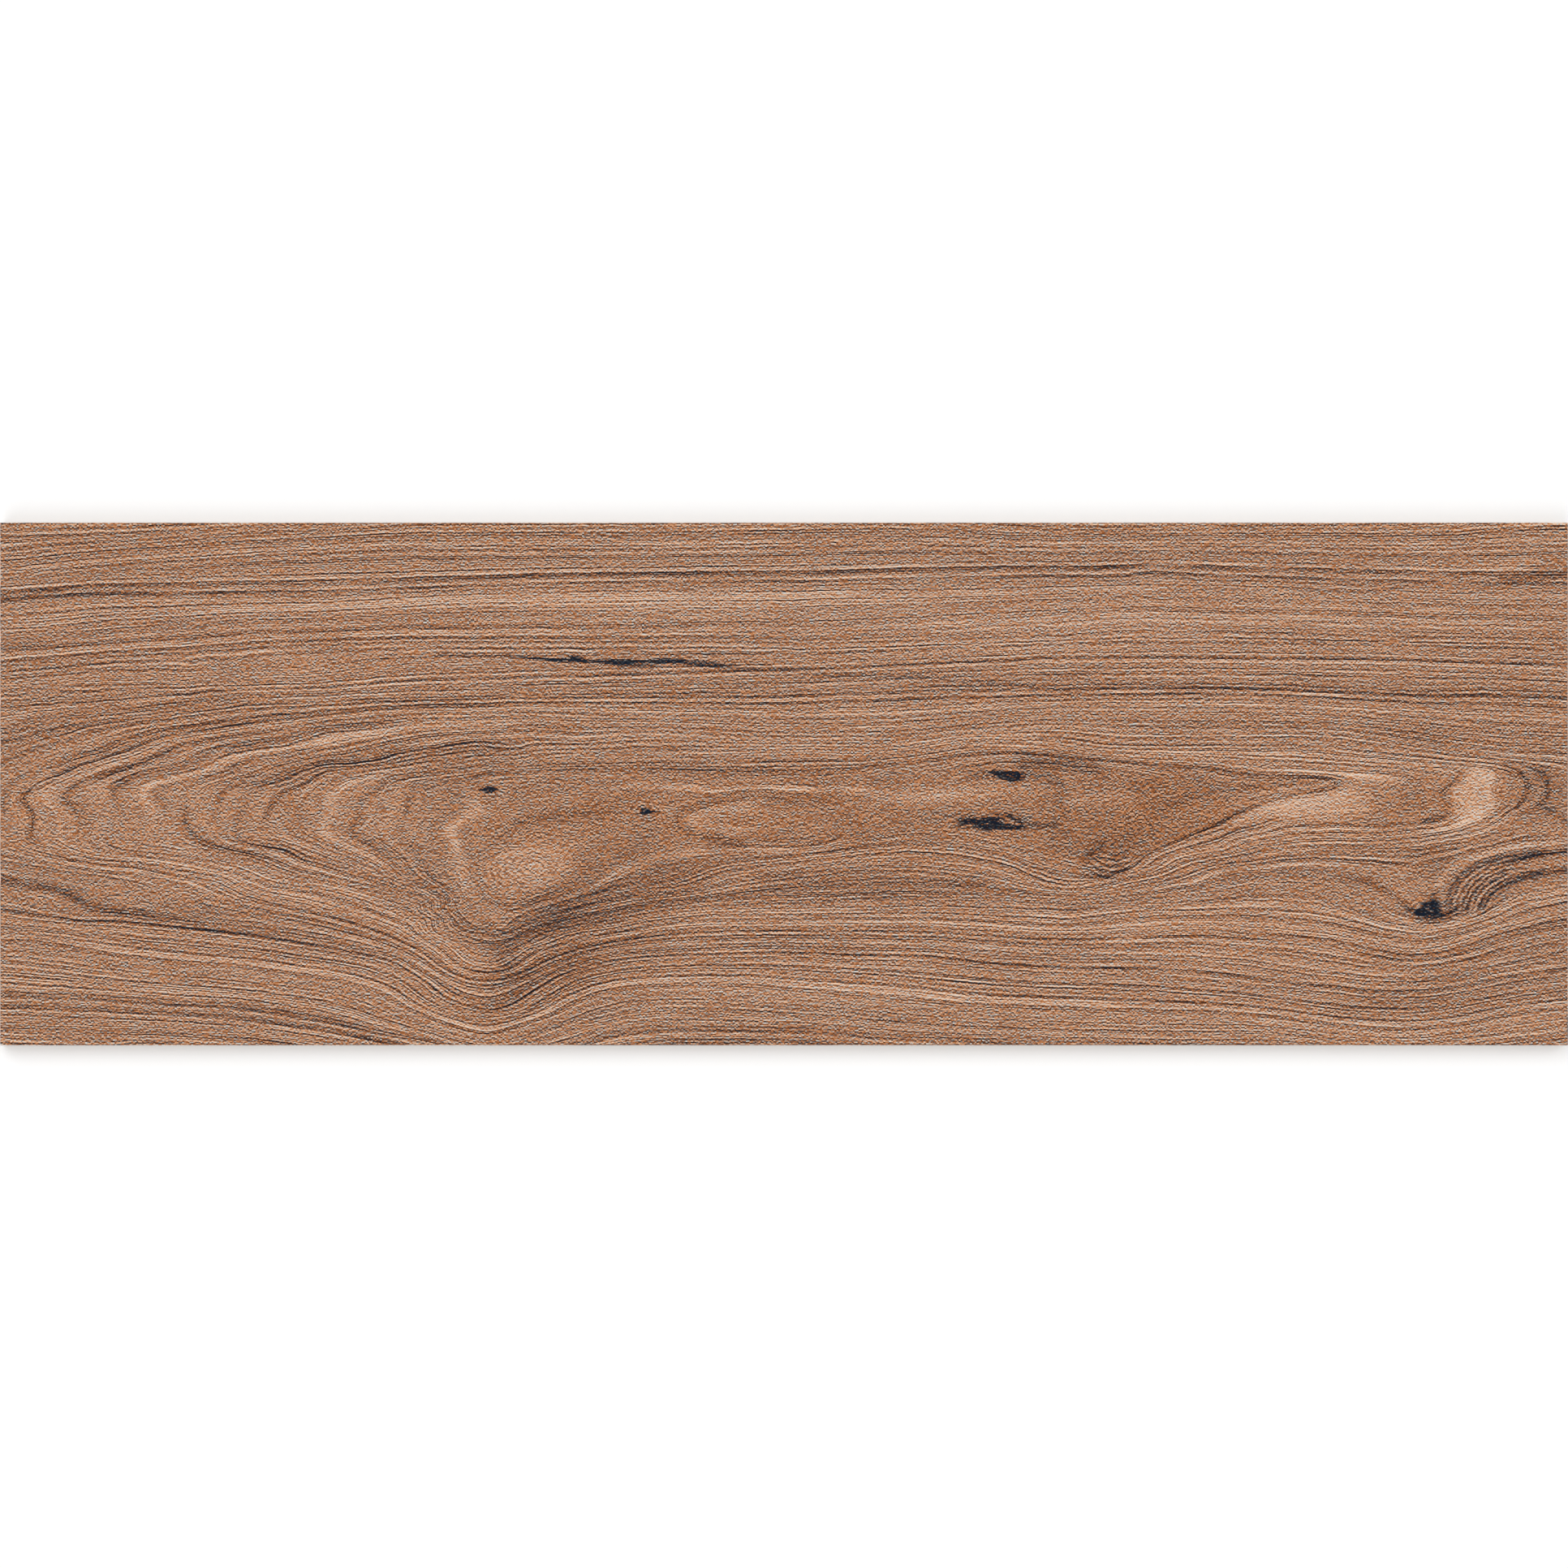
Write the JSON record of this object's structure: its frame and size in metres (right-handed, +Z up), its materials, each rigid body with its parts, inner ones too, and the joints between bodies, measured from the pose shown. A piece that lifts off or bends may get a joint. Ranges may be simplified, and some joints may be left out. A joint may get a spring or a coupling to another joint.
{
  "type": "glazed stoneware tile",
  "caption": "Flat rectangular plank tile of glazed stoneware with a wood-look face and a keyed back, for bedding in adhesive on a floor or wall.",
  "frame": {"origin": "middle of the back, in the plane of its ribs, where the tile lies on the floor", "axes": "+X along the length and the wood figure, +Y across the width, +Z up out of the glazed face"},
  "size_m": [0.6, 0.2, 0.0085],
  "materials": {
    "glazed_stoneware": "satin-matt glaze printed as knotty red-brown wood, over a fired stoneware body that is bare on the edges and back"
  },
  "bodies": {
    "root": {"tile": "glazed_stoneware"}
  },
  "joints": []
}
